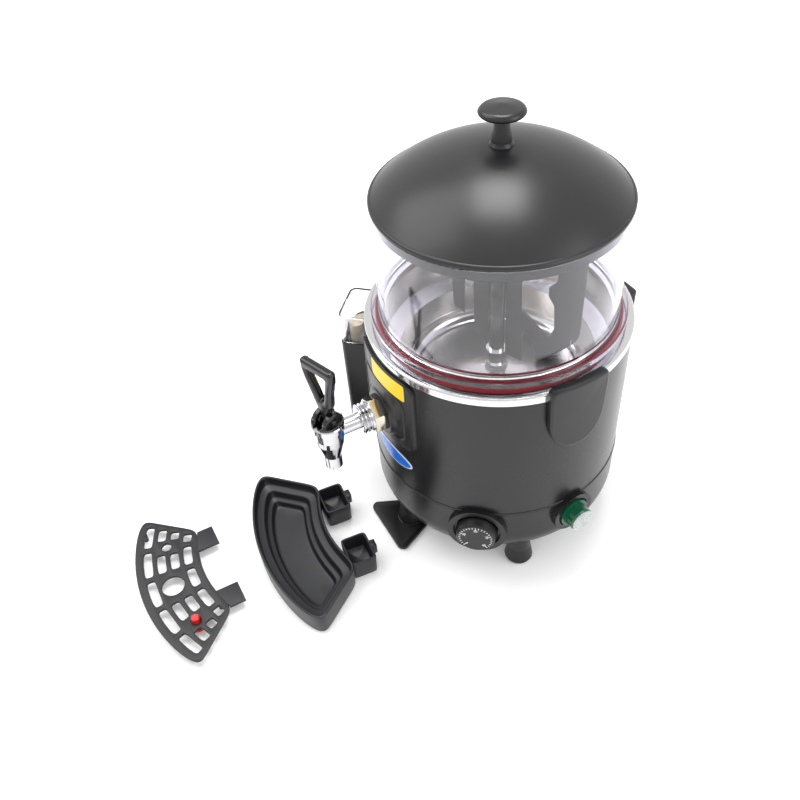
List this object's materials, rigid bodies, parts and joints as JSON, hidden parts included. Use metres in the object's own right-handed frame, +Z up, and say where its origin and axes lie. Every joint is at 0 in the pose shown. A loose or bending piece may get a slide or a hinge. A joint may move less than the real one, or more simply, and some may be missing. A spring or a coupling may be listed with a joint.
{
  "type": "hot chocolate dispenser",
  "caption": "Countertop hot chocolate dispenser: heated bowl under a clear jar with stirring paddle, lever tap, thermostat dial, and a detached drip tray and grille.",
  "frame": {"origin": "point on the floor under the machine's vertical axis, at the centre of the circle of feet", "axes": "+Z up along the machine's axis, -Y towards the tap, +X towards the push button's side"},
  "size_m": [0.299, 0.585, 0.48],
  "materials": {
    "black_plastic": "satin",
    "black_paint": "satin",
    "polished_steel": "polished",
    "sheet_steel": "brushed",
    "chrome": "polished",
    "nickel": "satin nickel",
    "clear_plastic": "clear gloss",
    "red_silicone": "satin",
    "white_silicone": "satin",
    "grey_plastic": "satin",
    "black_rubber": "matte",
    "control_plastic": "satin",
    "green_plastic": "translucent",
    "white_foam": "satin",
    "red_plastic": "gloss"
  },
  "bodies": {
    "machine": {"base_housing": "black_plastic", "base_plate": "sheet_steel", "chassis_columns": "sheet_steel", "chassis_plate": "sheet_steel", "bath_pillars": "sheet_steel", "gearbox": "sheet_steel", "drive_motor": "sheet_steel", "spindle_bearing": "black_plastic", "spindle_seal": "white_silicone", "heating_element": "sheet_steel", "water_bath": "sheet_steel", "steel_bowl": "polished_steel", "rim_band": "polished_steel", "jar_gasket": "red_silicone", "body_shell": "black_paint", "front_plate": "black_plastic", "tap_washer": "black_rubber", "tap_nut": "nickel", "tap_collar": "chrome", "tap_body": "chrome", "tap_bonnet": "black_plastic", "lever_pin": "polished_steel", "valve_spring": "sheet_steel", "thermostat": "control_plastic", "button_bezel": "black_plastic", "power_switch": "control_plastic", "water_box": "black_plastic", "water_links": "sheet_steel", "float_guide": "black_plastic", "rear_cover": "black_plastic", "cord_gland": "black_plastic", "handle_left": "black_plastic", "handle_right": "black_plastic", "foot_plate": "black_plastic", "legs": "black_plastic", "foot_pads": "black_rubber"},
    "jar": {"jar": "clear_plastic"},
    "lid": {"lid": "black_plastic", "lid_knob": "black_plastic", "lid_screw": "polished_steel"},
    "mixer": {"mixer_paddle": "grey_plastic", "mixer_tube": "polished_steel", "drive_spindle": "polished_steel"},
    "lever": {"tap_lever": "black_plastic"},
    "valve": {"valve_stem": "polished_steel", "valve_seat": "white_silicone"},
    "dial": {"thermostat_dial": "black_plastic", "thermostat_shaft": "sheet_steel"},
    "button": {"power_button": "green_plastic"},
    "box_cap": {"box_cap": "clear_plastic"},
    "water_float": {"water_float": "white_foam"},
    "tray": {"drip_tray": "black_plastic"},
    "grille": {"drip_grille": "black_plastic"},
    "red_float": {"red_float": "red_plastic"}
  },
  "joints": [
    {"name": "jar_lift", "type": "slide", "parent": "machine", "child": "jar", "axis": [0, 0, 1], "range_m": [0, 0.06]},
    {"name": "lid_lift", "type": "slide", "parent": "jar", "child": "lid", "axis": [0, 0, 1], "range_m": [0, 0.08]},
    {"name": "mixer_spin", "type": "hinge", "parent": "machine", "child": "mixer", "pos_m": [0, 0, 0.2], "axis": [0, 0, 1], "continuous": true},
    {"name": "lever_pull", "type": "hinge", "parent": "machine", "child": "lever", "pos_m": [0, -0.196, 0.21], "axis": [0.9397, 0.342, 0], "range_deg": [0, 45], "stiffness_Nm_per_rad": 0.25, "springref_deg": -11.46},
    {"name": "valve_lift", "type": "slide", "parent": "machine", "child": "valve", "axis": [0, 0, 1], "range_m": [0, 0.0041], "deforming": ["valve_spring"]},
    {"name": "dial_turn", "type": "hinge", "parent": "machine", "child": "dial", "pos_m": [0.10495, -0.08806, 0.077], "axis": [0.766, -0.6428, 0], "range_deg": [0, 270]},
    {"name": "button_press", "type": "slide", "parent": "machine", "child": "button", "axis": [-0.9976, -0.0698, 0], "range_m": [0, 0.003], "stiffness_N_per_m": 300, "springref_m": -0.003},
    {"name": "box_cap_lift", "type": "slide", "parent": "machine", "child": "box_cap", "axis": [0, 0, 1], "range_m": [0, 0.04]},
    {"name": "water_float_rise", "type": "slide", "parent": "machine", "child": "water_float", "axis": [0, 0, 1], "range_m": [-0.03, 0.01]},
    {"name": "tray_lift", "type": "slide", "parent": "machine", "child": "tray", "axis": [0, 0, 1], "range_m": [0, 0.04]},
    {"name": "grille_lift", "type": "slide", "parent": "machine", "child": "grille", "axis": [0, 0, 1], "range_m": [0, 0.04]},
    {"name": "red_float_rise", "type": "slide", "parent": "grille", "child": "red_float", "axis": [0, 0, 1], "range_m": [0, 0.0045]}
  ],
  "couplings": [
    {"joint": "valve_lift", "follows": "lever_pull", "m_per_rad": 0.005093}
  ]
}
